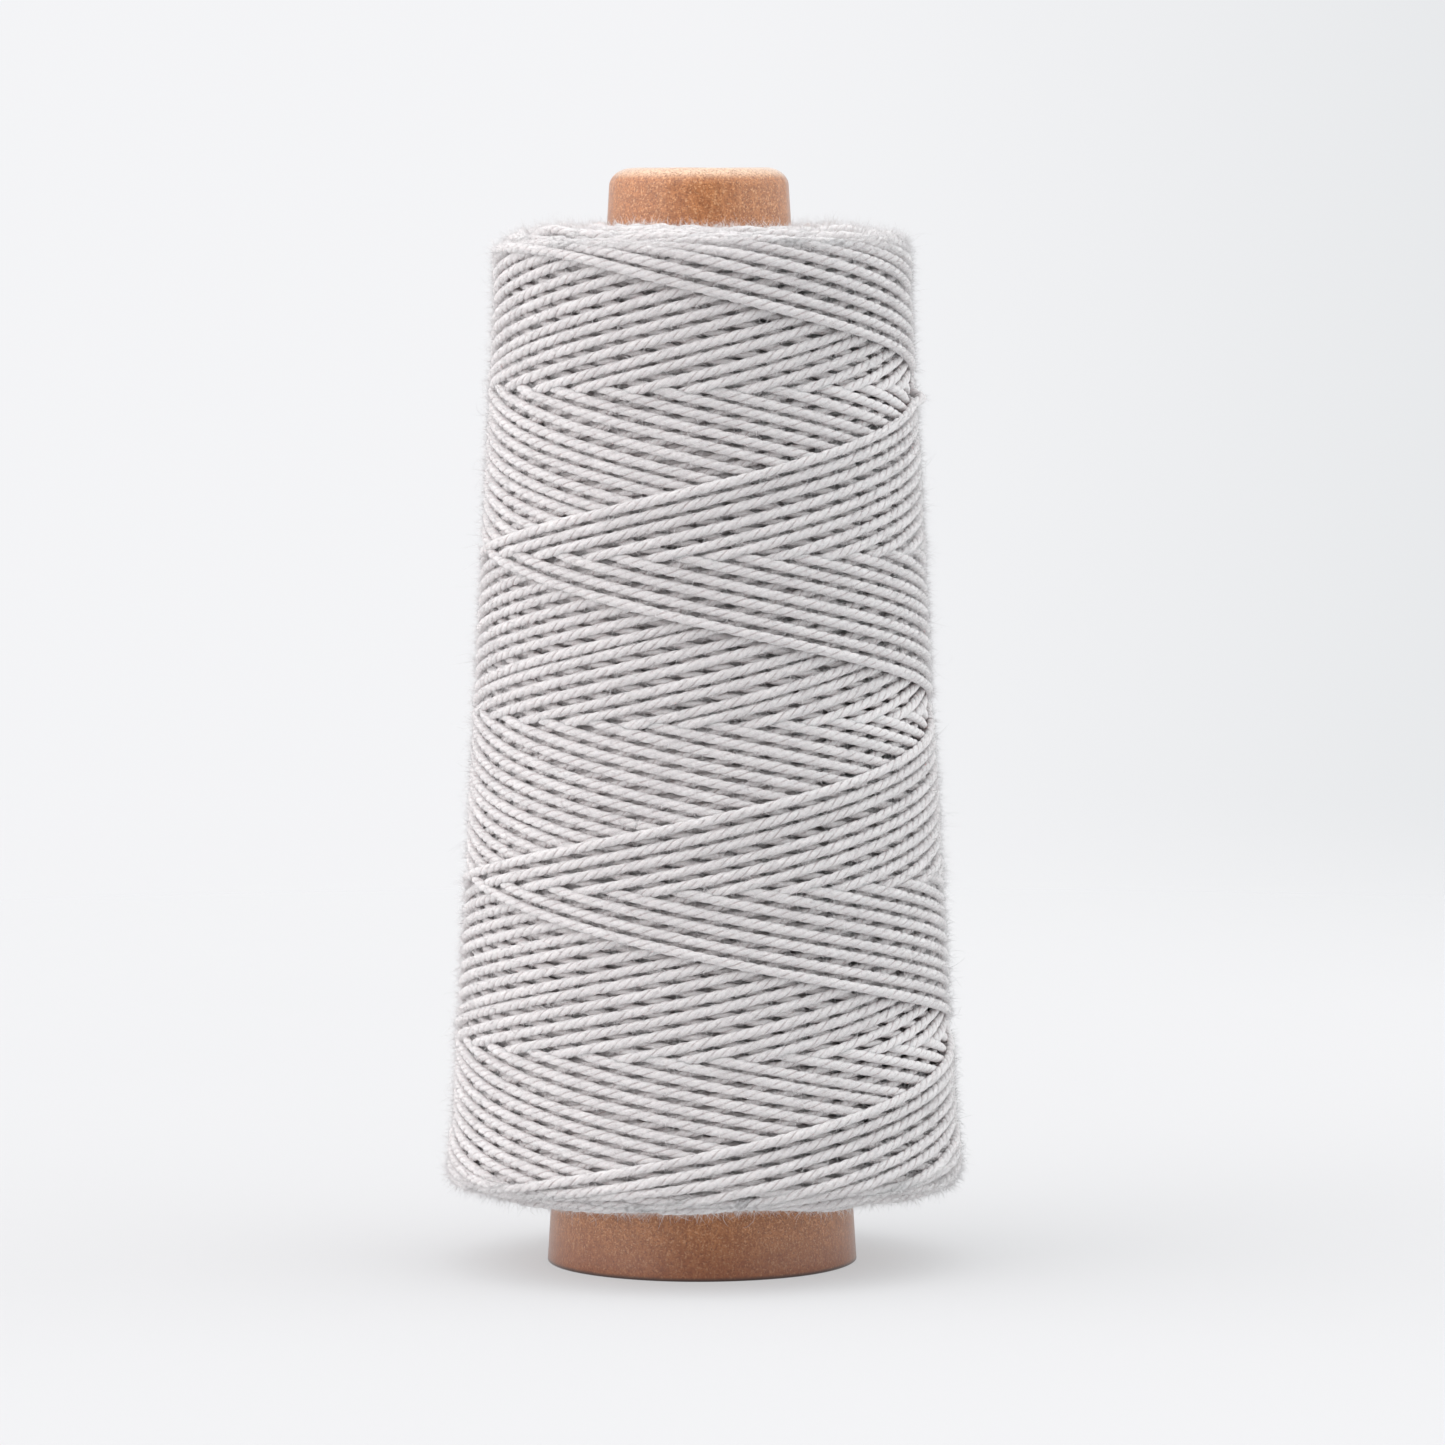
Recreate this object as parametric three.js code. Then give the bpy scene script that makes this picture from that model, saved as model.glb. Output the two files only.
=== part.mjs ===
import * as THREE from 'three';

// A cone of cotton yarn: a tapered paper cone with one long yarn cross-wound on it.
// Millimetres, +Z up, origin at the centre of the paper cone's base.

// Paper cone
const CONE_LENGTH = 170;
const CONE_BASE_RADIUS = 24.1;
const CONE_TAPER = Math.tan(THREE.MathUtils.degToRad(3.5));
const CONE_WALL = 1.8;
const NOSE_CROWN_INSET = 3.7;
const NOSE_CROWN_HEIGHT = 2.9;
const NOSE_HEM_WIDTH = 1.9;
const NOSE_HEM_DEPTH = 1.8;

// Yarn package
const PACKAGE_BOTTOM = 12.2;
const PACKAGE_TOP = 161;
const PACKAGE_BOTTOM_RADIUS = 40.1;
const PACKAGE_TAPER = Math.tan(THREE.MathUtils.degToRad(3.0));
const PACKAGE_LAYERS = ['inner', 'middle', 'outer'];
const TOP_SHOULDER_START = 0.5;
const TOP_SHOULDER_DEPTH = 4.4;
const BOTTOM_SHOULDER_START = 0.88;
const BOTTOM_SHOULDER_DEPTH = 2;

// Last wrap of the yarn, a right-handed helix round the package
const YARN_DIAMETER = 1.5;
const WINDING_LEAD = 50.3;
const WRAP_START_TURN = -1;
const WRAP_END_TURN = 0.25;
const WRAP_CROSSING_HEIGHT = 134.6;

// Clearance between pieces that touch, and facets round each piece
const GAP = 0.3;
const FACETS = 48;
const ARC_STEPS = 6;
const WRAP_STEPS = 80;
const WRAP_SIDES = 8;

function coneRadius(z) {
  return CONE_BASE_RADIUS - z * CONE_TAPER;
}

function packageRadius(z) {
  return PACKAGE_BOTTOM_RADIUS - (z - PACKAGE_BOTTOM) * PACKAGE_TAPER;
}

// Points of an elliptical arc, from one angle to another in quarter turns
function arc(centreX, centreZ, halfWidth, halfHeight, fromQuarter, toQuarter) {
  const points = [];
  for (let step = 0; step <= ARC_STEPS; step += 1) {
    const quarters = THREE.MathUtils.lerp(fromQuarter, toQuarter, step / ARC_STEPS);
    const angle = quarters * Math.PI / 2;
    const x = centreX + halfWidth * Math.cos(angle);
    const z = centreZ + halfHeight * Math.sin(angle);
    points.push(new THREE.Vector2(x, z));
  }
  return points;
}

// Turns a closed outline round +Z
function turned(outline) {
  const closed = [...outline, outline[0]];
  const geometry = new THREE.LatheGeometry(closed, FACETS);
  geometry.rotateX(Math.PI / 2);
  return geometry;
}

// The wall runs up to a nose whose edge is rolled inwards and hemmed
function paperConeGeometry() {
  const rollHeight = CONE_LENGTH - NOSE_CROWN_HEIGHT;
  const crownRadius = coneRadius(rollHeight) - NOSE_CROWN_INSET;
  const hemRadius = crownRadius - NOSE_HEM_WIDTH;
  const hemBottom = rollHeight - NOSE_HEM_DEPTH;
  const wallTop = hemBottom - NOSE_HEM_DEPTH;
  return turned([
    new THREE.Vector2(CONE_BASE_RADIUS - CONE_WALL, 0),
    new THREE.Vector2(CONE_BASE_RADIUS, 0),
    ...arc(crownRadius, rollHeight, NOSE_CROWN_INSET, NOSE_CROWN_HEIGHT, 0, 1),
    ...arc(crownRadius, rollHeight, NOSE_HEM_WIDTH, NOSE_CROWN_HEIGHT, 1, 2).slice(1),
    new THREE.Vector2(hemRadius, hemBottom),
    new THREE.Vector2(coneRadius(wallTop) - CONE_WALL, wallTop),
  ]);
}

// How far a rounded shoulder has fallen at a fraction of the package's thickness
function shoulderDrop(fraction, start, depth) {
  const along = Math.max(0, (fraction - start) / (1 - start));
  return depth * (1 - Math.sqrt(1 - along * along));
}

function topHeight(fraction) {
  return PACKAGE_TOP - shoulderDrop(fraction, TOP_SHOULDER_START, TOP_SHOULDER_DEPTH);
}

function bottomHeight(fraction) {
  return PACKAGE_BOTTOM + shoulderDrop(fraction, BOTTOM_SHOULDER_START, BOTTOM_SHOULDER_DEPTH);
}

// One nested layer of the winding, between two fractions of the package's thickness
function layerGeometry(innerFraction, outerFraction) {
  const corner = (fraction, height, clearance) => {
    const z = height(fraction);
    const radius = THREE.MathUtils.lerp(coneRadius(z), packageRadius(z), fraction);
    return new THREE.Vector2(radius + clearance, z);
  };
  const bottom = [corner(innerFraction, bottomHeight, GAP)];
  const top = [corner(innerFraction, topHeight, GAP)];
  for (let step = 1; step <= ARC_STEPS; step += 1) {
    const along = Math.sin(step / ARC_STEPS * Math.PI / 2);
    const fraction = THREE.MathUtils.lerp(innerFraction, outerFraction, along);
    bottom.push(corner(fraction, bottomHeight, 0));
    top.push(corner(fraction, topHeight, 0));
  }
  return turned([...bottom, ...top.reverse()]);
}

// The centre line of the last wrap, by turns round +Z from the +X side
class WrapCurve extends THREE.Curve {
  getPoint(along) {
    const turn = THREE.MathUtils.lerp(WRAP_START_TURN, WRAP_END_TURN, along);
    const z = WRAP_CROSSING_HEIGHT + turn * WINDING_LEAD;
    const radius = packageRadius(z) + GAP + YARN_DIAMETER / 2;
    const angle = turn * 2 * Math.PI;
    return new THREE.Vector3(radius * Math.cos(angle), radius * Math.sin(angle), z);
  }
}

// A full circle is drawn with two sides to each curve segment
function lastWrapGeometry() {
  const section = new THREE.Shape();
  section.absarc(0, 0, YARN_DIAMETER / 2, 0, 2 * Math.PI);
  return new THREE.ExtrudeGeometry(section, {
    steps: WRAP_STEPS,
    curveSegments: WRAP_SIDES / 2,
    extrudePath: new WrapCurve(),
  });
}

function piece(name, geometry, color, roughness) {
  const material = new THREE.MeshStandardMaterial({ color, roughness, metalness: 0 });
  const mesh = new THREE.Mesh(geometry, material);
  mesh.name = name;
  return mesh;
}

const KRAFT = 0xc59c74;
const COTTON = 0xdedbdb;

const yarnCone = new THREE.Group();
yarnCone.add(piece('paper_cone', paperConeGeometry(), KRAFT, 0.85));
PACKAGE_LAYERS.forEach((layer, index) => {
  const innerFraction = index / PACKAGE_LAYERS.length;
  const outerFraction = (index + 1) / PACKAGE_LAYERS.length;
  const geometry = layerGeometry(innerFraction, outerFraction);
  yarnCone.add(piece(`yarn_${layer}_layers`, geometry, COTTON, 0.9));
});
yarnCone.add(piece('yarn_last_wrap', lastWrapGeometry(), COTTON, 0.9));

export default yarnCone;
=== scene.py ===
"""A cone of three-ply cotton yarn, cross-wound on a kraft paper cone.

The yarn is laid turn by turn as a winding machine lays it: each strand rests on the
strands below it. The strands that show are then swept as three-ply geometry.
"""
import math

import bpy
import numpy as np
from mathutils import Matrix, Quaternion, Vector


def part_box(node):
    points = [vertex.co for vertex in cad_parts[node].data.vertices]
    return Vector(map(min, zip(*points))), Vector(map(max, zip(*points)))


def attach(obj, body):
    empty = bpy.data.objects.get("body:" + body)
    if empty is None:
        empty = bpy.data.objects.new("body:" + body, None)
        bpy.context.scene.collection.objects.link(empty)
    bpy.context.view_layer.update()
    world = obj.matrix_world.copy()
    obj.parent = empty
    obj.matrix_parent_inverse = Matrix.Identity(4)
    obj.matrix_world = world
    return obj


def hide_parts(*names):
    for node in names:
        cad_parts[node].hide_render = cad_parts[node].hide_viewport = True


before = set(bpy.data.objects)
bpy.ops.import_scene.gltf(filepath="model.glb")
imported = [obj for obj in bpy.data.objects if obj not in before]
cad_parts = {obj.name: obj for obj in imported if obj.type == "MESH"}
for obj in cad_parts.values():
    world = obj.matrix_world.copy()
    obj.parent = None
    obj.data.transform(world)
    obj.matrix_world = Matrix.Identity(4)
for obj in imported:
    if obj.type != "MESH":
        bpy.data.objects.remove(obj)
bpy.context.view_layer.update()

MM = 0.001
BODY = "root"

# ---------------------------------------------------------------- sizes

CONE_LOW, CONE_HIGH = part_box("paper_cone")
INNER_LOW, INNER_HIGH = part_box("yarn_inner_layers")
OUTER_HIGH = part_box("yarn_outer_layers")[1]

# Paper cone
CONE_LENGTH = CONE_HIGH[2] - CONE_LOW[2]
CONE_BASE_RADIUS = CONE_HIGH[0]
CONE_TAPER = math.tan(math.radians(3.5))
CONE_WALL = 1.8 * MM
CONE_EDGE_ROUNDING = 0.25 * MM
NOSE_CROWN_INSET = 3.7 * MM
NOSE_CROWN_HEIGHT = 2.9 * MM
NOSE_HEM_WIDTH = 1.9 * MM
NOSE_HEM_DEPTH = 1.8 * MM

# Yarn package, which sits a little to the right of the cone's axis
PACKAGE_LOW = INNER_LOW[2]
PACKAGE_HIGH = INNER_HIGH[2]
PACKAGE_TAPER = math.tan(math.radians(3.0))
PACKAGE_BASE_RADIUS = OUTER_HIGH[0] + 0.1 * MM
LEAN = 0.5 * MM

# Yarn. The profile is the radius round one ply, from its groove
STRAND_RADIUS = 0.75 * MM
PLIES = 3
PLY_LEAD = 6 * MM
PLY_PROFILE = (0.83, 0.97, 1.01, 0.97)
PLY_SIDES = len(PLY_PROFILE) * PLIES
PLAIN_SIDES = 8
PLAIN_STEP = 1.5 * MM
PRESSED_OUT, PRESSED_ACROSS = 0.93, 1.03

# The winding: turns are counted from the front, and the last strand climbs as they grow
STROKE_LOW = PACKAGE_LOW - 1 * MM
WINDING_LEAD = 50.3 * MM
TURNS_PER_CYCLE = 5.956
TURNS_PER_STROKE = TURNS_PER_CYCLE / 2
CYCLES_PER_COVER = 1 / (math.ceil(TURNS_PER_CYCLE) - TURNS_PER_CYCLE)
LOW_REVERSAL_TURNS = 0.2
HIGH_REVERSAL_TURNS = 0.14
REVERSAL_VARIETY = 0.2
PATH_NOISE = 0.09 * MM
PATH_NOISE_TURNS = 0.23
STROKE_NOISE = 0.11 * MM
LAST_LOW_TURN = -2.203
WRAP_START_TURN = -0.75
END_TURN = 0.5
COVER_THICKNESS = 2.3 * MM
COVERS_LAID = 2

# The last wrap has sprung off in one place, and its cut end is tucked under
SPRUNG_TURN, SPRUNG_TURNS, SPRUNG_LIFT = 0.246, 0.011, 1.3 * MM
TUCKED_TURNS, TUCKED_DEPTH = 0.06, 1.6 * MM

# The field of heights that the yarn is laid on, and the zones at its two ends
SAMPLES_PER_TURN = 720
CELL = 0.2 * MM
FIELD_LOW = PACKAGE_LOW - 5 * MM
FIELD_HIGH = PACKAGE_HIGH + 4 * MM
SQUASH = 0.68
GIVE = 0.8 * MM
RIDGE_SAMPLES = 5
EVEN_SAMPLES = 6
TOP_ZONE = 7 * MM
BOTTOM_ZONE = 6 * MM
FACE_ZONE = 3.6 * MM

COVER_PIECES = 8
SHORTEST_RUN = 8
TURNED_SEGMENTS = 240
NAP_FIBRES = 48000
HAIR_FIBRES = 9000


def cone_radius(z):
    return CONE_BASE_RADIUS - z * CONE_TAPER


def package_radius(z):
    return PACKAGE_BASE_RADIUS - (z - PACKAGE_LOW) * PACKAGE_TAPER


# ---------------------------------------------------------------- node and mesh helpers

def add(tree, kind, inputs=None, **settings):
    """A shader node. Each input is a value, or an output socket to link."""
    node = tree.nodes.new(kind)
    for name, value in settings.items():
        setattr(node, name, value)
    for key, value in (inputs or {}).items():
        if isinstance(value, bpy.types.NodeSocket):
            tree.links.new(value, node.inputs[key])
        else:
            node.inputs[key].default_value = value
    return node


def maths(tree, operation, first, second=0.0):
    return add(tree, "ShaderNodeMath", {0: first, 1: second}, operation=operation).outputs[0]


def times(tree, first, second):
    return maths(tree, "MULTIPLY", first, second)


def from_half(tree, value):
    """How far a value is from a half."""
    return maths(tree, "ABSOLUTE", maths(tree, "SUBTRACT", value, 0.5))


def fade(tree, value, low, high, to_low=0.0, to_high=1.0):
    inputs = {0: value, 1: low, 2: high, 3: to_low, 4: to_high}
    node = add(tree, "ShaderNodeMapRange", inputs, interpolation_type="SMOOTHSTEP")
    return node.outputs[0]


def blend_colour(tree, amount, first, second):
    inputs = {0: amount, 6: first, 7: second}
    return add(tree, "ShaderNodeMix", inputs, data_type="RGBA").outputs[2]


def noise(tree, vector, scale, detail=2.0, roughness=0.5):
    inputs = {"Vector": vector, "Scale": scale, "Detail": detail, "Roughness": roughness}
    return add(tree, "ShaderNodeTexNoise", inputs).outputs[0]


def stretched(tree, vector, scale):
    return add(tree, "ShaderNodeMapping", {"Vector": vector, "Scale": scale}).outputs[0]


def bump(tree, height, strength, distance):
    inputs = {"Height": height, "Strength": strength, "Distance": distance}
    return add(tree, "ShaderNodeBump", inputs).outputs[0]


def new_material(name):
    material = bpy.data.materials.new(name)
    material.use_nodes = True
    shader = material.node_tree.nodes["Principled BSDF"]
    return material, material.node_tree, shader


def triangle_mesh(name, points, triangles, material, smooth=True):
    """A mesh object made from arrays of points and triangles."""
    mesh = bpy.data.meshes.new(name)
    count = len(triangles)
    mesh.vertices.add(len(points))
    mesh.loops.add(3 * count)
    mesh.polygons.add(count)
    mesh.vertices.foreach_set("co", np.ascontiguousarray(points, np.float32).ravel())
    mesh.loops.foreach_set("vertex_index", np.asarray(triangles, np.int32).ravel())
    mesh.polygons.foreach_set("loop_start", np.arange(count, dtype=np.int32) * 3)
    mesh.polygons.foreach_set("use_smooth", np.full(count, smooth))
    mesh.update(calc_edges=True)
    mesh.materials.append(material)
    piece = bpy.data.objects.new(name, mesh)
    bpy.context.scene.collection.objects.link(piece)
    return piece


def grid_triangles(row, next_row, column, next_column, width):
    """The two triangles of each square of a grid whose rows hold `width` points."""
    a, b = row * width + column, row * width + next_column
    c, d = next_row * width + next_column, next_row * width + column
    return np.stack([a, b, c, a, c, d], -1).reshape(-1, 3)


def grid_map(*corners):
    """A map's values round those two triangles, from the (u, v) of a square's corners."""
    a, b, c, d = (np.stack(corner, -1) for corner in corners)
    return np.stack([a, b, c, a, c, d], 2).reshape(-1, 2)


def add_map(piece, name, values):
    layer = piece.data.uv_layers.new(name=name)
    layer.uv.foreach_set("vector", np.asarray(values, np.float32).ravel())


def turned_piece(name, outline, material, wobble):
    """A closed outline of (radius, height) turned round +Z, then moved by wobble."""
    outline = np.array(outline)
    rows, segments = len(outline), TURNED_SEGMENTS
    angle = np.arange(segments) / segments * 2 * math.pi
    radius = np.repeat(outline[:, :1], segments, 1)
    height = np.repeat(outline[:, 1:], segments, 1)
    radius, height = wobble(radius, height, angle[None, :])
    points = np.stack([radius * np.cos(angle), radius * np.sin(angle), height], -1)
    row, column = np.meshgrid(np.arange(rows), np.arange(segments), indexing="ij")
    next_row, next_column = (row + 1) % rows, (column + 1) % segments
    triangles = grid_triangles(row, next_row, column, next_column, segments)
    piece = triangle_mesh(name, points.reshape(-1, 3), triangles, material)
    left, low = column / segments, row / rows
    right, high = left + 1 / segments, low + 1 / rows
    add_map(piece, "OFBake", grid_map((left, low), (right, low), (right, high), (left, high)))
    return piece


def arc(centre_x, centre_z, half_width, half_height, start, end, steps):
    """Points of an elliptical arc, from one angle to another in quarter turns."""
    angle = np.linspace(start, end, steps + 1) * math.pi / 2
    x = centre_x + half_width * np.cos(angle)
    z = centre_z + half_height * np.sin(angle)
    return list(zip(x, z))


def finish_piece(piece, slot, *nodes):
    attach(piece, BODY)
    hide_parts(*nodes)


# ---------------------------------------------------------------- materials

def cotton_material():
    """Pale grey cotton, matte and fibrous, with painted shade in the grooves between plies and
    in the crevices between strands.
    """
    material, tree, shader = new_material("cotton_yarn")
    pale = (0.75, 0.732, 0.730, 1)
    shade = (0.60, 0.58, 0.583, 1)
    # The ply groove colour is painted shade for the grooves between plies
    ply_groove_shade = (0.44, 0.37, 0.375, 1)
    # The crevice colour is painted shade, browner where strands hide one another
    crevice_shade = (0.62, 0.485, 0.485, 1)

    # The "strand" map follows the plies: metres along, and turns round
    place = add(tree, "ShaderNodeUVMap", uv_map="strand").outputs[0]
    solid = add(tree, "ShaderNodeTexCoord").outputs["Object"]
    around = add(tree, "ShaderNodeSeparateXYZ", {0: place}).outputs[1]
    in_ply = maths(tree, "FRACT", times(tree, around, float(PLIES)))
    # Painted shade in the ply grooves, stronger in some patches than in others
    shade_patches = fade(tree, noise(tree, solid, 700.0), 0.4, 0.62, 0.15, 1.0)
    groove = times(tree, fade(tree, from_half(tree, in_ply), 0.34, 0.5), shade_patches)
    fibres = noise(tree, stretched(tree, place, (1100.0, 30.0, 1.0)), 1.0, 3.0, 0.65)
    lint = noise(tree, solid, 1900.0, 4.0, 0.7)
    rough = maths(tree, "ADD", times(tree, fibres, 0.5), times(tree, lint, 0.5))
    slubs = noise(tree, solid, 160.0, 2.0)
    # The AO node tells where strands hide one another, for the painted crevice shade
    hollow = {"Distance": 1.6 * MM}
    depth = add(tree, "ShaderNodeAmbientOcclusion", hollow, samples=4).outputs["AO"]

    colour = blend_colour(tree, fade(tree, rough, 0.36, 0.58), shade, pale)
    for amount, tint in (
        (fade(tree, slubs, 0.4, 0.7, 0.0, 0.25), shade),
        # painted shade in the grooves between plies
        (times(tree, groove, 0.7), ply_groove_shade),
        # painted shade in the crevices between strands
        (fade(tree, depth, 0.1, 0.65, 0.2, 0.0), crevice_shade),
    ):
        colour = blend_colour(tree, amount, colour, tint)
    height = maths(tree, "SUBTRACT", rough, times(tree, groove, 0.4))
    tree.links.new(colour, shader.inputs["Base Color"])
    tree.links.new(fade(tree, rough, 0.3, 0.7, 0.95, 0.85), shader.inputs["Roughness"])
    tree.links.new(bump(tree, height, 0.9, 0.22 * MM), shader.inputs["Normal"])
    shader.inputs["Subsurface Weight"].default_value = 0.6
    shader.inputs["Subsurface Radius"].default_value = (1.0, 0.92, 0.91)
    shader.inputs["Subsurface Scale"].default_value = 0.9 * MM
    shader.inputs["Sheen Weight"].default_value = 0.2
    shader.inputs["Sheen Roughness"].default_value = 0.5
    shader.inputs["Specular IOR Level"].default_value = 0.2
    return material


def fuzz_material():
    """Loose cotton fibres, a little paler than the yarn."""
    material, tree, shader = new_material("cotton_fuzz")
    solid = add(tree, "ShaderNodeTexCoord").outputs["Object"]
    tone = noise(tree, solid, 300.0)
    colour = blend_colour(tree, tone, (0.74, 0.725, 0.73, 1), (0.84, 0.83, 0.835, 1))
    tree.links.new(colour, shader.inputs["Base Color"])
    shader.inputs["Roughness"].default_value = 0.9
    shader.inputs["Specular IOR Level"].default_value = 0.2
    return material


def kraft_material():
    """Wound kraft paper: mottled brown, with dark grain, pale specks and pale fibres. The
    rolled nose has a painted highlight, the foot gets darker towards the bottom, and a thin
    painted contact shadow runs along its cut edge."""
    material, tree, shader = new_material("kraft_paper")
    dark_brown = (0.37, 0.130, 0.039, 1)
    light_brown = (0.49, 0.190, 0.063, 1)

    place = add(tree, "ShaderNodeTexCoord").outputs["Object"]
    height = add(tree, "ShaderNodeSeparateXYZ", {0: place}).outputs[2]
    mottle = noise(tree, place, 700.0, 4.0, 0.75)
    grain = noise(tree, place, 2900.0, 3.0, 0.8)
    specks = noise(tree, stretched(tree, place, (2800.0, 2800.0, 2600.0)), 1.0, 2.0, 0.7)
    streak = noise(tree, stretched(tree, place, (1100.0, 1100.0, 70.0)), 1.0, 3.0, 0.6)
    curl = from_half(tree, noise(tree, place, 800.0, 1.0))
    patch = fade(tree, noise(tree, place, 900.0), 0.5, 0.62)
    fibres = times(tree, fade(tree, curl, 0.0, 0.016, 1.0, 0.0), patch)
    spots = add(tree, "ShaderNodeTexVoronoi", {"Vector": place, "Scale": 900.0}).outputs[0]
    # Painted highlight along the rolled nose, where the ceiling light catches its curve
    nose_highlight = fade(tree, height, CONE_LENGTH - 1.9 * MM, CONE_LENGTH - 0.6 * MM, 0.0, 0.8)

    colour = blend_colour(tree, fade(tree, mottle, 0.4, 0.6), dark_brown, light_brown)
    for amount, tint in (
        # painted highlight on the rolled nose
        (nose_highlight, (0.84, 0.62, 0.44, 1)),
        (fade(tree, grain, 0.46, 0.62, 0.0, 0.8), (0.20, 0.060, 0.018, 1)),
        (fade(tree, specks, 0.54, 0.66, 0.0, 0.45), (0.84, 0.49, 0.25, 1)),
        (fade(tree, streak, 0.5, 0.7, 0.0, 0.15), (0.62, 0.30, 0.13, 1)),
        (times(tree, fibres, 0.3), (0.90, 0.60, 0.34, 1)),
        (fade(tree, spots, 0.14, 0.06, 0.0, 0.7), (0.12, 0.045, 0.025, 1)),
        # The foot gets darker towards the bottom
        (fade(tree, height, 0.0, 10 * MM, 0.6, 0.0), (0.12, 0.018, 0.002, 1)),
        # painted contact shadow along the cut edge of the foot
        (fade(tree, height, 0.2 * MM, 0.8 * MM, 0.9, 0.0), (0.02, 0.006, 0.003, 1)),
    ):
        colour = blend_colour(tree, amount, colour, tint)
    relief = maths(tree, "ADD", grain, times(tree, streak, 0.7))
    tree.links.new(colour, shader.inputs["Base Color"])
    tree.links.new(fade(tree, grain, 0.2, 0.8, 0.5, 0.36), shader.inputs["Roughness"])
    tree.links.new(bump(tree, relief, 0.3, 0.1 * MM), shader.inputs["Normal"])
    shader.inputs["Specular IOR Level"].default_value = 0.75
    shader.inputs["Sheen Weight"].default_value = 0.8
    shader.inputs["Sheen Roughness"].default_value = 0.3
    return material


COTTON = cotton_material()
FUZZ = fuzz_material()
KRAFT = kraft_material()


# ---------------------------------------------------------------- paper cone

def paper_cone():
    """The tapered tube, with a nose whose edge is rolled inwards and hemmed."""
    edge = CONE_EDGE_ROUNDING
    roll_height = CONE_LENGTH - NOSE_CROWN_HEIGHT
    crown = cone_radius(roll_height) - NOSE_CROWN_INSET
    hem_bottom = roll_height - NOSE_HEM_DEPTH
    wall_top = hem_bottom - NOSE_HEM_DEPTH
    outline = arc(CONE_BASE_RADIUS - CONE_WALL + edge, edge, edge, edge, 2, 3, 4)
    outline += arc(CONE_BASE_RADIUS - edge, edge, edge, edge, 3, 4, 4)
    for z in np.linspace(2 * MM, roll_height - MM, 60):
        outline.append((cone_radius(z), z))
    outline += arc(crown, roll_height, NOSE_CROWN_INSET, NOSE_CROWN_HEIGHT, 0, 1, 14)
    outline += arc(crown, roll_height, NOSE_HEM_WIDTH, NOSE_CROWN_HEIGHT, 1, 2, 10)[1:]
    outline.append((crown - NOSE_HEM_WIDTH, hem_bottom))
    outline.append((cone_radius(wall_top) - CONE_WALL, wall_top))
    for z in np.linspace(wall_top - 4 * MM, 3 * MM, 30):
        outline.append((cone_radius(z) - CONE_WALL, z))

    def wobble(radius, height, angle):
        """Paper isn't quite round: long soft waves, and a nose that was rolled by a tool."""
        near_nose = np.clip((height - 0.9 * CONE_LENGTH) / (0.1 * CONE_LENGTH), 0, 1)
        wave = np.sin(3 * angle + 60 * height) + 0.6 * np.sin(7 * angle - 90 * height + 1)
        pleats = np.sin(23 * angle + 2) * near_nose**4
        radius = radius + 0.06 * MM * wave + 0.05 * MM * pleats
        return radius, height - 0.05 * MM * near_nose * (1 + wave * 0.5)

    piece = turned_piece("paper_cone_wound", outline, KRAFT, wobble)
    finish_piece(piece, "kraft_paper", "paper_cone")


# ---------------------------------------------------------------- laying the yarn

def path_height(turn, random):
    """How high the yarn is laid: straight strokes up and down, each reversal rounded."""
    strokes = (turn - LAST_LOW_TURN) / TURNS_PER_STROKE
    reversal = np.round(strokes).astype(int)
    from_end = np.abs(strokes - reversal) * TURNS_PER_STROKE
    at_bottom = reversal % 2 == 0
    variety = np.exp(random.normal(0, REVERSAL_VARIETY, np.ptp(reversal) + 1))
    rounding = np.where(at_bottom, LOW_REVERSAL_TURNS, HIGH_REVERSAL_TURNS)
    rounding = rounding * variety[reversal - reversal[0]]
    rounded = from_end**2 / rounding + rounding / 4
    travel = WINDING_LEAD * np.where(from_end > rounding / 2, from_end, rounded)
    top = STROKE_LOW + WINDING_LEAD * TURNS_PER_STROKE
    return np.where(at_bottom, STROKE_LOW + travel, top - travel)


def smooth_noise(random, at, spacing, size):
    knots = np.arange(at[0] - spacing, at[-1] + 2 * spacing, spacing)
    return np.interp(at, knots, random.normal(0, size, len(knots)))


def sliding(values, half, combine):
    padded = np.pad(values, half, "edge")
    return combine(np.lib.stride_tricks.sliding_window_view(padded, 2 * half + 1), 1)


def end_flare(height):
    """The package is a little fuller at its two ends, where the yarn dwells."""
    low = np.clip((75 * MM - height) / (63 * MM), 0, 1) ** 1.5
    high = np.clip((height - 138 * MM) / (14 * MM), 0, 1)
    return 0.7 * MM * low + 0.5 * MM * high * high * (3 - 2 * high)


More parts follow.
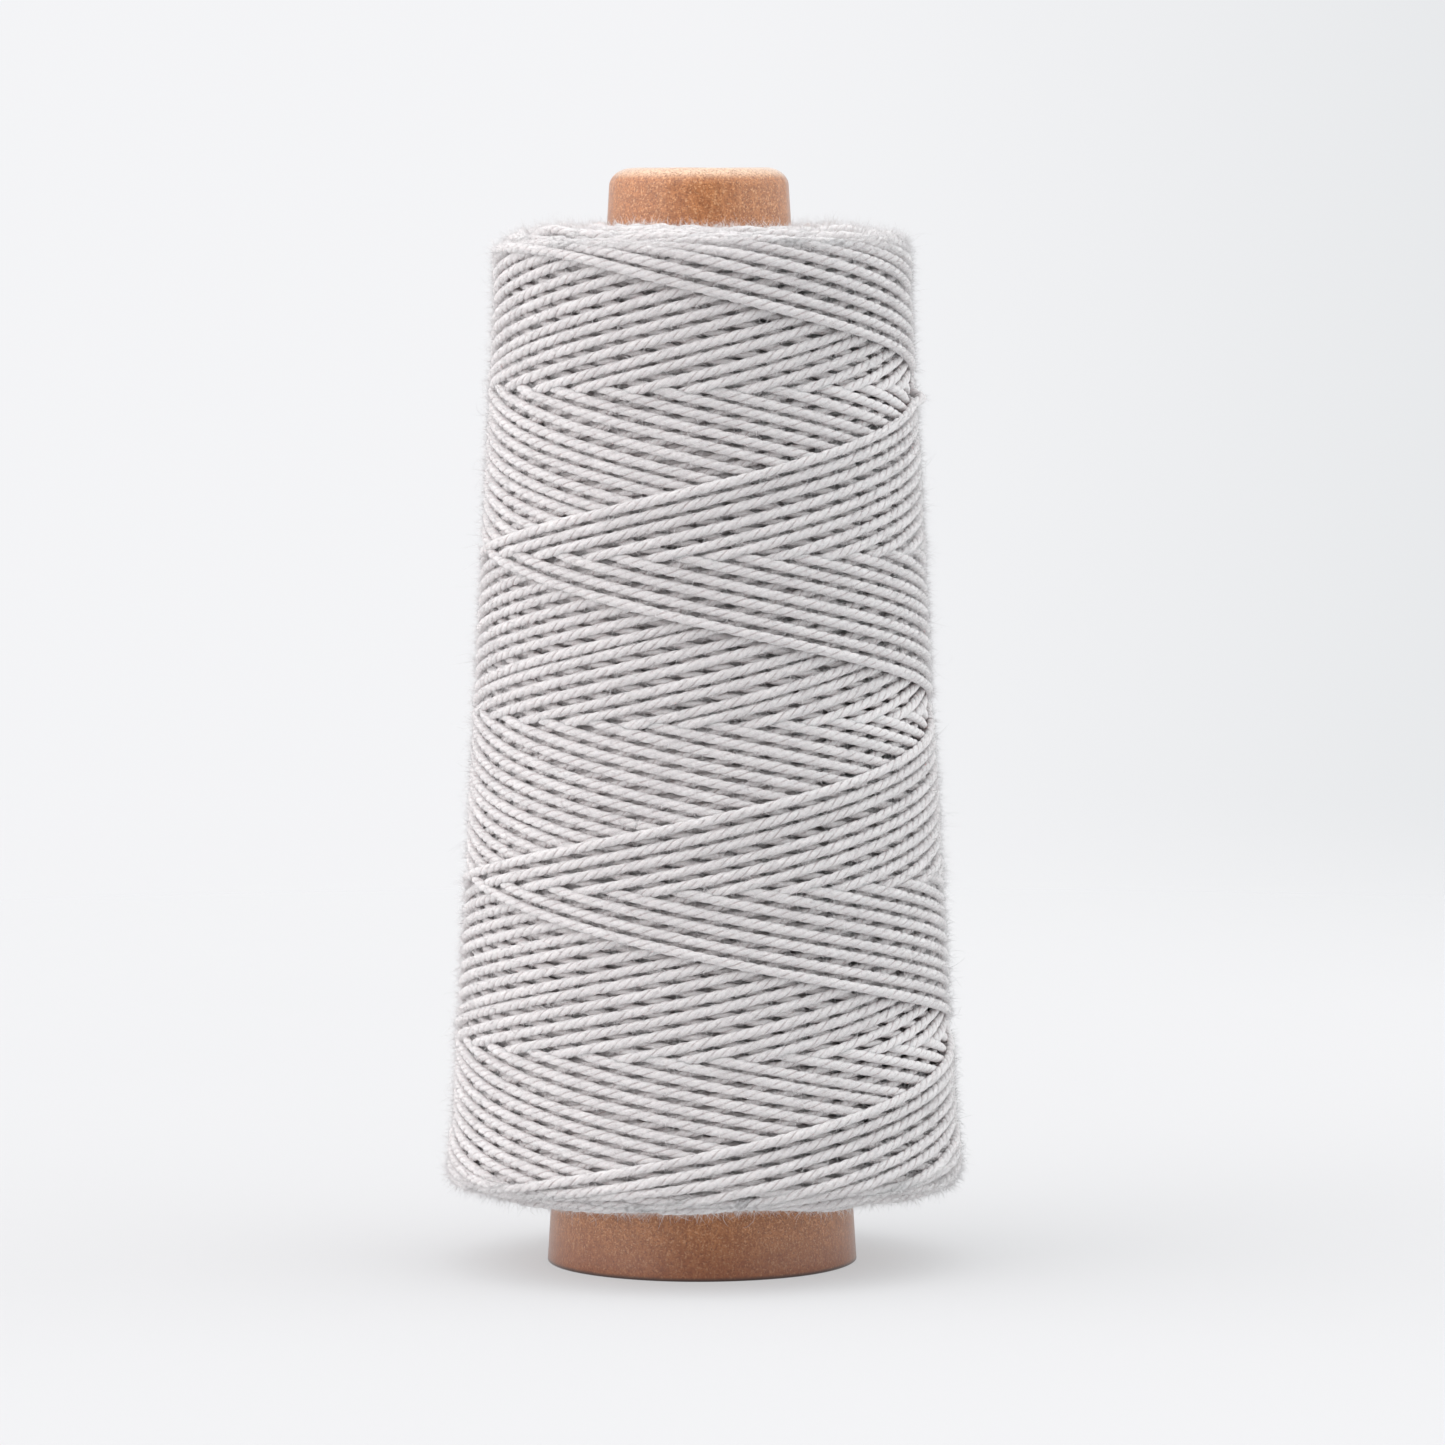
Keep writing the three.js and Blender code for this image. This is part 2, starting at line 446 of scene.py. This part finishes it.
def settle(level, height, column, kept, covers):
    """The radius of each kept sample, once its strand rests under tension on a field of the
    heights already laid. The field starts at the covers below those laid in full."""
    cell_height = FIELD_LOW + np.arange(int((FIELD_HIGH - FIELD_LOW) / CELL)) * CELL
    bare = cone_radius(cell_height)
    wall = package_radius(cell_height) - bare
    low_limit, high_limit = PACKAGE_LOW + BOTTOM_ZONE, PACKAGE_HIGH - TOP_ZONE
    body = (cell_height > low_limit) & (cell_height < high_limit)
    field = np.tile(bare, (SAMPLES_PER_TURN, 1))
    field[:, body] = (bare + wall * (1 - COVERS_LAID / covers))[body]

    half = math.ceil(STRAND_RADIUS / CELL)
    reach = np.arange(-half, half + 1)
    ahead = RIDGE_SAMPLES + EVEN_SAMPLES
    radius = level.copy()
    support = np.zeros(len(level))
    changes = np.flatnonzero(np.diff(kept.astype(int))) + 1
    limits = np.concatenate([[0], changes, [len(level)]])
    for first, last in zip(limits[:-1], limits[1:]):
        if not kept[first]:
            continue
        for start in range(first, last, SAMPLES_PER_TURN // 4):
            end = min(last, start + SAMPLES_PER_TURN // 4)
            far = min(last, end + ahead)

            # What lies under each sample, and then what a taut strand makes of it
            row = (height[start:far] - FIELD_LOW) / CELL
            cells = np.round(row).astype(int)[:, None] + reach
            across = (cells - row[:, None]) * CELL
            under = np.abs(across) < STRAND_RADIUS
            section = SQUASH * np.sqrt(np.maximum(STRAND_RADIUS**2 - across**2, 0))
            columns = column[start:far, None]
            support[start:far] = np.where(under, field[columns, cells] + section, 0).max(1)
            back = max(first, start - ahead)
            ridges = sliding(support[back:far], RIDGE_SAMPLES, np.max)
            taut = sliding(ridges, EVEN_SAMPLES, np.mean)
            excess = taut[start - back:end - back] - level[start:end]
            radius[start:end] += GIVE * np.tanh(excess / GIVE)

            # The strand becomes part of the field
            here = end - start
            crest = np.where(under[:here], radius[start:end, None] + section[:here], 0)
            where = np.broadcast_to(columns[:here], cells[:here].shape)
            np.maximum.at(field, (where, cells[:here]), crest)
    return radius


def lay_yarn():
    """The centre line of the whole yarn, its turns, the covers over each sample, and which
    samples lie in the two end faces."""
    random = np.random.default_rng(7)
    middle = (PACKAGE_LOW + PACKAGE_HIGH) / 2
    covers = (package_radius(middle) - cone_radius(middle)) / COVER_THICKNESS
    total_turns = covers * CYCLES_PER_COVER * TURNS_PER_CYCLE
    count = int(total_turns * SAMPLES_PER_TURN)
    index = int(END_TURN * SAMPLES_PER_TURN) - count + np.arange(count)
    turn = index / SAMPLES_PER_TURN
    height = path_height(turn, random)
    height = height + smooth_noise(random, turn, PATH_NOISE_TURNS, PATH_NOISE)
    stroke = np.floor((turn - LAST_LOW_TURN) / TURNS_PER_STROKE).astype(int)
    stroke -= stroke[0]
    height += random.normal(0, STROKE_NOISE, stroke[-1] + 1)[stroke]
    fraction = 1 - (turn[-1] - turn) / total_turns
    covers_left = (1 - fraction) * covers
    at_top = height > PACKAGE_HIGH - TOP_ZONE
    at_bottom = height < PACKAGE_LOW + BOTTOM_ZONE
    kept = (covers_left < COVERS_LAID) | at_top | at_bottom

    # The top shoulder leans inwards over the layers below it, and the bottom one a little
    outer = np.clip((fraction - 0.4) / 0.6, 0, 1) ** 2
    top_bend = np.clip((height - PACKAGE_HIGH + 6.6 * MM) / (5.2 * MM), 0, 1) ** 2
    low_bend = np.clip((PACKAGE_LOW + 4.5 * MM - height) / (3.5 * MM), 0, 1) ** 2
    level = cone_radius(height) + STRAND_RADIUS
    level += (package_radius(height) - cone_radius(height) - 2 * STRAND_RADIUS) * fraction
    level += fraction * end_flare(height)
    level -= outer * (2 * top_bend + 1.8 * low_bend) * MM
    final_height = height + top_bend * (0.9 - 1.9 * outer) * MM
    final_height -= low_bend * (1 - outer) * MM

    radius = settle(level, height, index % SAMPLES_PER_TURN, kept, covers)
    sprung = np.exp(-((turn - SPRUNG_TURN) / SPRUNG_TURNS) ** 2)
    tucked = np.clip(1 - (turn[-1] - turn) / TUCKED_TURNS, 0, 1)
    radius += SPRUNG_LIFT * sprung - TUCKED_DEPTH * tucked**2
    angle = 2 * math.pi * turn
    points = np.stack([radius * np.sin(angle), -radius * np.cos(angle), final_height], -1)
    points[:, 0] += LEAN * fraction
    top_face = final_height > PACKAGE_HIGH - FACE_ZONE
    bottom_face = final_height < PACKAGE_LOW + FACE_ZONE
    return points, turn, covers_left, top_face | bottom_face


def strand_runs(wanted):
    """(first, last) of each run of samples that are wanted."""
    edges = np.flatnonzero(np.diff(np.concatenate([[0], wanted.astype(int), [0]])))
    return [(a, b) for a, b in zip(edges[::2], edges[1::2]) if b - a > SHORTEST_RUN]


def resampled(line, step, random):
    """Even rings along a line: their centres, metres along, and radii that vary a little."""
    along = np.linalg.norm(np.diff(line, axis=0), axis=1)
    along = np.concatenate([[0], np.cumsum(along)])
    at = np.linspace(0, along[-1], max(3, int(along[-1] / step) + 1))
    centre = np.stack([np.interp(at, along, line[:, k]) for k in range(3)], -1)
    return centre, at, STRAND_RADIUS * (1 + smooth_noise(random, at, 5 * MM, 0.045))


def ring_points(centre, thickness, profile, angle):
    """The points of each ring, square to its strand and pressed a little flat."""
    tangent = np.gradient(centre, axis=0)
    tangent /= np.linalg.norm(tangent, axis=1, keepdims=True)
    outward = centre * (1, 1, 0)
    outward -= tangent * (outward * tangent).sum(1, keepdims=True)
    outward /= np.linalg.norm(outward, axis=1, keepdims=True)
    beside = np.cross(tangent, outward)
    reach = thickness[:, None, None] * profile[None, :, None]
    spread = PRESSED_OUT * np.cos(angle)[..., None] * outward[:, None, :]
    spread = spread + PRESSED_ACROSS * np.sin(angle)[..., None] * beside[:, None, :]
    return (centre[:, None, :] + reach * spread).reshape(-1, 3)


def sweep(name, points, runs, plied=True):
    """Tubes along runs of the yarn's centre line. A plied one has a groove between plies,
    and its rows of vertices follow them; the "strand" map holds metres along and turns
    round. In the baked map the runs follow one another, along rows of equal length."""
    sides = PLY_SIDES if plied else PLAIN_SIDES
    step = PLY_LEAD / sides if plied else PLAIN_STEP
    profile = np.tile(PLY_PROFILE, PLIES) if plied else np.ones(sides)
    random = np.random.default_rng(len(runs))
    strands = [resampled(points[first:last], step, random) for first, last in runs]
    total_rings = sum(len(centre) for centre, _, _ in strands)
    rows = max(1, round(math.sqrt(total_rings * step / (2 * math.pi * STRAND_RADIUS))))
    per_row = math.ceil(total_rings / rows) + 1

    side = np.arange(sides)
    fan = np.stack([np.zeros(sides - 2, int), side[2:], side[1:-1]], -1)
    caps = np.zeros((2 * 3 * (sides - 2), 2))
    all_points, all_triangles, all_maps, all_bakes = [], [], [], []
    rings_before = 0
    for centre, at, thickness in strands:
        rings = len(centre)
        twist = np.arange(rings) if plied else np.zeros(rings)
        angle = (side[None, :] - twist[:, None]) / sides * 2 * math.pi
        all_points.append(ring_points(centre, thickness, profile, angle))

        j, i = np.meshgrid(np.arange(rings - 1), side, indexing="ij")
        wall = grid_triangles(j, j + 1, i, (i + 1) % sides, sides)
        far_fan = fan[:, ::-1] + (rings - 1) * sides
        all_triangles.append(np.concatenate([wall, fan, far_fan]) + rings_before * sides)

        turns = np.zeros(rings) if plied else at / PLY_LEAD
        near, far = at[j], at[j + 1]
        left, right = i / sides, (i + 1) / sides
        all_maps += [grid_map((near, left + turns[j]), (near, right + turns[j]),
                              (far, right + turns[j + 1]), (far, left + turns[j + 1])), caps]

        place = rings_before + j
        row = place // per_row
        start = (place - row * per_row) / per_row
        end = start + 1 / per_row
        low = (row + 0.05 + 0.9 * i / sides) / rows
        high = low + 0.9 / sides / rows
        all_bakes += [grid_map((start, low), (start, high), (end, high), (end, low)),
                      caps + 0.5 / rows / per_row]
        rings_before += rings

    tubes = np.concatenate(all_points), np.concatenate(all_triangles)
    piece = triangle_mesh(name, *tubes, COTTON)
    add_map(piece, "strand", np.concatenate(all_maps))
    add_map(piece, "OFBake", np.concatenate(all_bakes))
    return piece


def split_run(first, last, parts):
    cuts = np.linspace(first, last - 1, parts + 1).astype(int)
    return [(a, b + 1) for a, b in zip(cuts[:-1], cuts[1:])]


def yarn_pieces(points, turn, covers_left, near_face):
    """The last cover, the one under it, the end faces and the last wrap."""
    wrap = turn >= WRAP_START_TURN
    cover = (covers_left < 1) & ~wrap
    under = (covers_left >= 1) & (covers_left < COVERS_LAID) & ~near_face
    faces = (covers_left >= 1) & near_face
    is_top = points[:, 2] > (PACKAGE_LOW + PACKAGE_HIGH) / 2

    (first, last), = strand_runs(cover)
    for number, run in enumerate(split_run(first, last, COVER_PIECES)):
        piece = sweep(f"yarn_cover_{number + 1}", points, [run])
        finish_piece(piece, "cotton_yarn", "yarn_outer_layers")
    piece = sweep("yarn_last_wrap_strand", points, strand_runs(wrap))
    finish_piece(piece, "cotton_yarn", "yarn_last_wrap")
    runs = strand_runs(under)
    for number, chunk in enumerate((runs[::2], runs[1::2])):
        piece = sweep(f"yarn_under_cover_{number + 1}", points, chunk, plied=False)
        finish_piece(piece, "cotton_yarn", "yarn_outer_layers")
    for label, there in (("top", is_top), ("bottom", ~is_top)):
        piece = sweep(f"yarn_{label}_turns", points, strand_runs(faces & there))
        finish_piece(piece, "cotton_yarn", "yarn_inner_layers", "yarn_middle_layers")


def yarn_core():
    """The mass of the winding below the covers that are laid strand by strand."""
    low, high = PACKAGE_LOW + 2.4 * MM, PACKAGE_HIGH - 2.6 * MM
    clear = 0.3 * MM
    depth = COVERS_LAID * COVER_THICKNESS + clear
    outline = [(cone_radius(low) + clear, low),
               (package_radius(low) - depth, low),
               (package_radius(high) - depth - 2 * MM, high),
               (cone_radius(high) + clear, high)]

    def wobble(radius, height, angle):
        return radius + 0.1 * MM * np.sin(40 * angle), height

    piece = turned_piece("yarn_core", outline, FUZZ, wobble)
    finish_piece(piece, "cotton_yarn", "yarn_inner_layers", "yarn_middle_layers")


# ---------------------------------------------------------------- loose fibres

def fuzz(name, random, points, chosen, lengths, joints, spread, nodes):
    """Loose fibres that leave the yarn: bent hairs of three sides that taper to a point."""
    sides, count = 3, len(chosen)

    # Where each hair leaves the strand, and its way from joint to joint
    base = points[chosen]
    tangent = points[chosen + 1] - points[chosen - 1]
    tangent /= np.linalg.norm(tangent, axis=1, keepdims=True)
    outward = base * (1, 1, 0)
    outward /= np.linalg.norm(outward, axis=1, keepdims=True)
    beside = np.cross(tangent, outward)
    lean = random.uniform(-spread, spread, count)[:, None]
    normal = outward * np.cos(lean) + beside * np.sin(lean)
    way = np.sign(random.normal(size=count))[:, None]
    heading = 0.9 * normal + way * tangent * random.uniform(0.2, 1.3, (count, 1))
    heading += random.normal(0, 0.25, (count, 3))
    bend = random.normal(0, 0.9, (count, 3)) + 0.15 * normal
    place = base + normal * STRAND_RADIUS * 0.8
    step = (lengths / (joints - 1))[:, None]
    spine = [place]
    for _ in range(joints - 1):
        heading = heading / np.linalg.norm(heading, axis=1, keepdims=True)
        place = place + heading * step
        spine.append(place)
        heading = heading + bend * random.uniform(0.2, 1.0, (count, 1))
    spine = np.stack(spine, 1)

    # A triangle round each joint but the last, which is the tip
    along = np.gradient(spine, axis=1)
    along /= np.linalg.norm(along, axis=2, keepdims=True)
    first = np.cross(along, (0.3, 0.2, 0.93))
    first /= np.linalg.norm(first, axis=2, keepdims=True)
    second = np.cross(along, first)
    thick = random.uniform(0.018, 0.034, (count, 1)) * MM * np.linspace(1, 0.3, joints)
    angle = (np.arange(sides) / sides * 2 * math.pi)[:, None]
    ring = first[:, :, None] * np.cos(angle) + second[:, :, None] * np.sin(angle)
    rings = spine[:, :, None] + thick[:, :, None, None] * ring
    walls = rings[:, :-1].reshape(count, -1, 3)
    verts = np.concatenate([walls, spine[:, -1:]], 1)

    j, i = np.meshgrid(np.arange(joints - 2), np.arange(sides), indexing="ij")
    wall = grid_triangles(j, j + 1, i, (i + 1) % sides, sides)
    last, tip = (joints - 2) * sides, (joints - 1) * sides
    point = [(last + k, last + (k + 1) % sides, tip) for k in range(sides)]
    hair = np.concatenate([wall, point, [(0, 2, 1)]])
    triangles = hair[None] + (np.arange(count) * (tip + 1))[:, None, None]
    piece = triangle_mesh(name, verts.reshape(-1, 3), triangles.reshape(-1, 3), FUZZ)

    # Each hair is baked in a square of its own
    squares = math.ceil(math.sqrt(count))
    hairs = np.arange(count)
    square = np.stack([hairs % squares, hairs // squares], -1)[:, None, None, :]
    corner = np.array([(0.1, 0.1), (0.9, 0.1), (0.1, 0.9)])
    spots = np.broadcast_to(square + corner, (count, len(hair), 3, 2))
    add_map(piece, "OFBake", spots / squares)
    finish_piece(piece, "cotton_yarn", *nodes)


def fuzz_pieces(points, covers_left, near_face):
    """Short nap and longer flyaway hairs all over, with more at the rims and end faces."""
    random = np.random.default_rng(11)
    surface = np.flatnonzero(covers_left < 0.8)[1:-1]
    rims = np.flatnonzero(near_face & (covers_left < 5.5))[1:-1]
    faces = np.flatnonzero(near_face)[1:-1]
    outer = ["yarn_outer_layers"]
    inner = ["yarn_inner_layers", "yarn_middle_layers"]

    # Name, where, count, log of the usual length, longest, joints, spread and nodes
    plan = [(f"yarn_nap_{k + 1}", surface, NAP_FIBRES, 0.2, 2.4, 2, 1.3, outer)
            for k in range(5)]
    plan += [
        ("yarn_nap_rims", rims, NAP_FIBRES, 0.4, 2.6, 2, 2.0, inner),
        ("yarn_nap_faces", faces, NAP_FIBRES, 0.2, 2.2, 2, 2.0, inner),
        ("yarn_hairs", surface, HAIR_FIBRES, 0.7, 5.0, 5, 1.2, outer),
        ("yarn_hairs_faces", faces, HAIR_FIBRES, 0.7, 3.2, 5, 2.0, inner),
    ]
    for name, where, count, usual, longest, joints, spread, nodes in plan:
        chosen = random.choice(where, count)
        lengths = np.clip(random.lognormal(usual, 0.45, count), 0.4, longest) * MM
        fuzz(name, random, points, chosen, lengths, joints, spread, nodes)


# ---------------------------------------------------------------- camera, floor and light

def camera():
    """Level with the nose, over a metre away, looking a little down."""
    aim = Vector((3.4 * MM, 0, 84 * MM))
    distance = 1150 * MM
    data = bpy.data.cameras.new("camera")
    data.sensor_width = 36
    data.lens = 185.0
    data.clip_start = 0.05
    data.clip_end = 50
    item = bpy.data.objects.new("camera", data)
    item.location = (aim.x, -distance, CONE_LENGTH)
    view = (aim - item.location).to_track_quat("-Z", "Y")
    roll = Quaternion((0, 0, 1), math.radians(-0.13))
    item.rotation_euler = (view @ roll).to_euler()
    bpy.context.scene.collection.objects.link(item)
    bpy.context.scene.camera = item


def floor():
    """A pale table top that melts into the backdrop. It glows a little, so that its shadows
    stay faint."""
    material, tree, shader = new_material("floor_paint")
    place = add(tree, "ShaderNodeTexCoord").outputs["Object"]
    tone = noise(tree, place, 3.0)
    colour = blend_colour(tree, tone, (0.29, 0.293, 0.298, 1), (0.31, 0.313, 0.318, 1))
    distance = add(tree, "ShaderNodeVectorMath", {0: place}, operation="LENGTH").outputs["Value"]
    tree.links.new(colour, shader.inputs["Base Color"])
    tree.links.new(fade(tree, distance, 0.3, 0.9, 1.0, 0.0), shader.inputs["Alpha"])
    shader.inputs["Emission Color"].default_value = (1.0, 1.0, 1.01, 1)
    shader.inputs["Emission Strength"].default_value = 0.42
    shader.inputs["Roughness"].default_value = 0.9
    shader.inputs["Specular IOR Level"].default_value = 0.1
    size = 1.0
    points = [(-size, -size, 0), (size, -size, 0), (size, size, 0), (-size, size, 0)]
    piece = triangle_mesh("floor", points, [(0, 1, 2), (0, 2, 3)], material, smooth=False)


def softbox(name, azimuth, elevation, energy, colour, spread):
    """A wide soft lamp. Azimuth 0 is the front, and 90 the right."""
    data = bpy.data.lights.new(name, "SUN")
    data.energy = energy
    data.color = colour
    data.angle = math.radians(spread)
    item = bpy.data.objects.new(name, data)
    turn, tilt = math.radians(azimuth), math.radians(elevation)
    level = math.cos(tilt)
    towards = Vector((level * math.sin(turn), -level * math.cos(turn), math.sin(tilt)))
    item.rotation_euler = towards.to_track_quat("Z", "Y").to_euler()
    bpy.context.scene.collection.objects.link(item)


def studio():
    """A backdrop that dims a little to the right, a bright ceiling and three wide lamps."""
    world = bpy.data.worlds.new("studio")
    bpy.context.scene.world = world
    world.use_nodes = True
    tree = world.node_tree
    way = add(tree, "ShaderNodeTexCoord").outputs["Generated"]
    parts = add(tree, "ShaderNodeSeparateXYZ", {0: way})
    across = fade(tree, parts.outputs[0], -0.02, 0.16)
    backdrop = blend_colour(tree, across, (0.905, 0.908, 0.925, 1), (0.77, 0.785, 0.80, 1))
    upward = fade(tree, parts.outputs[2], 0.35, 0.95)
    sideways = fade(tree, maths(tree, "ABSOLUTE", parts.outputs[0]), 0.2, 0.9)
    light = blend_colour(tree, sideways, (0.24, 0.24, 0.243, 1), (1.12, 1.12, 1.126, 1))
    light = blend_colour(tree, upward, light, (1.7, 1.7, 1.72, 1))
    seen = add(tree, "ShaderNodeLightPath").outputs["Is Camera Ray"]
    colour = blend_colour(tree, seen, light, backdrop)
    tree.links.new(colour, tree.nodes["Background"].inputs[0])
    softbox("key_softbox", -42, 26, 0.6, (1.0, 0.955, 0.95), 60)
    softbox("left_softbox", -78, 22, 1.2, (1.0, 0.945, 0.94), 80)
    softbox("right_softbox", 80, 22, 0.72, (0.92, 0.995, 1.0), 80)


camera()
floor()
studio()
paper_cone()
points, turn, covers_left, near_face = lay_yarn()
yarn_pieces(points, turn, covers_left, near_face)
yarn_core()
fuzz_pieces(points, covers_left, near_face)

scene = bpy.context.scene
scene.view_settings.view_transform = "Standard"
scene.view_settings.look = "None"
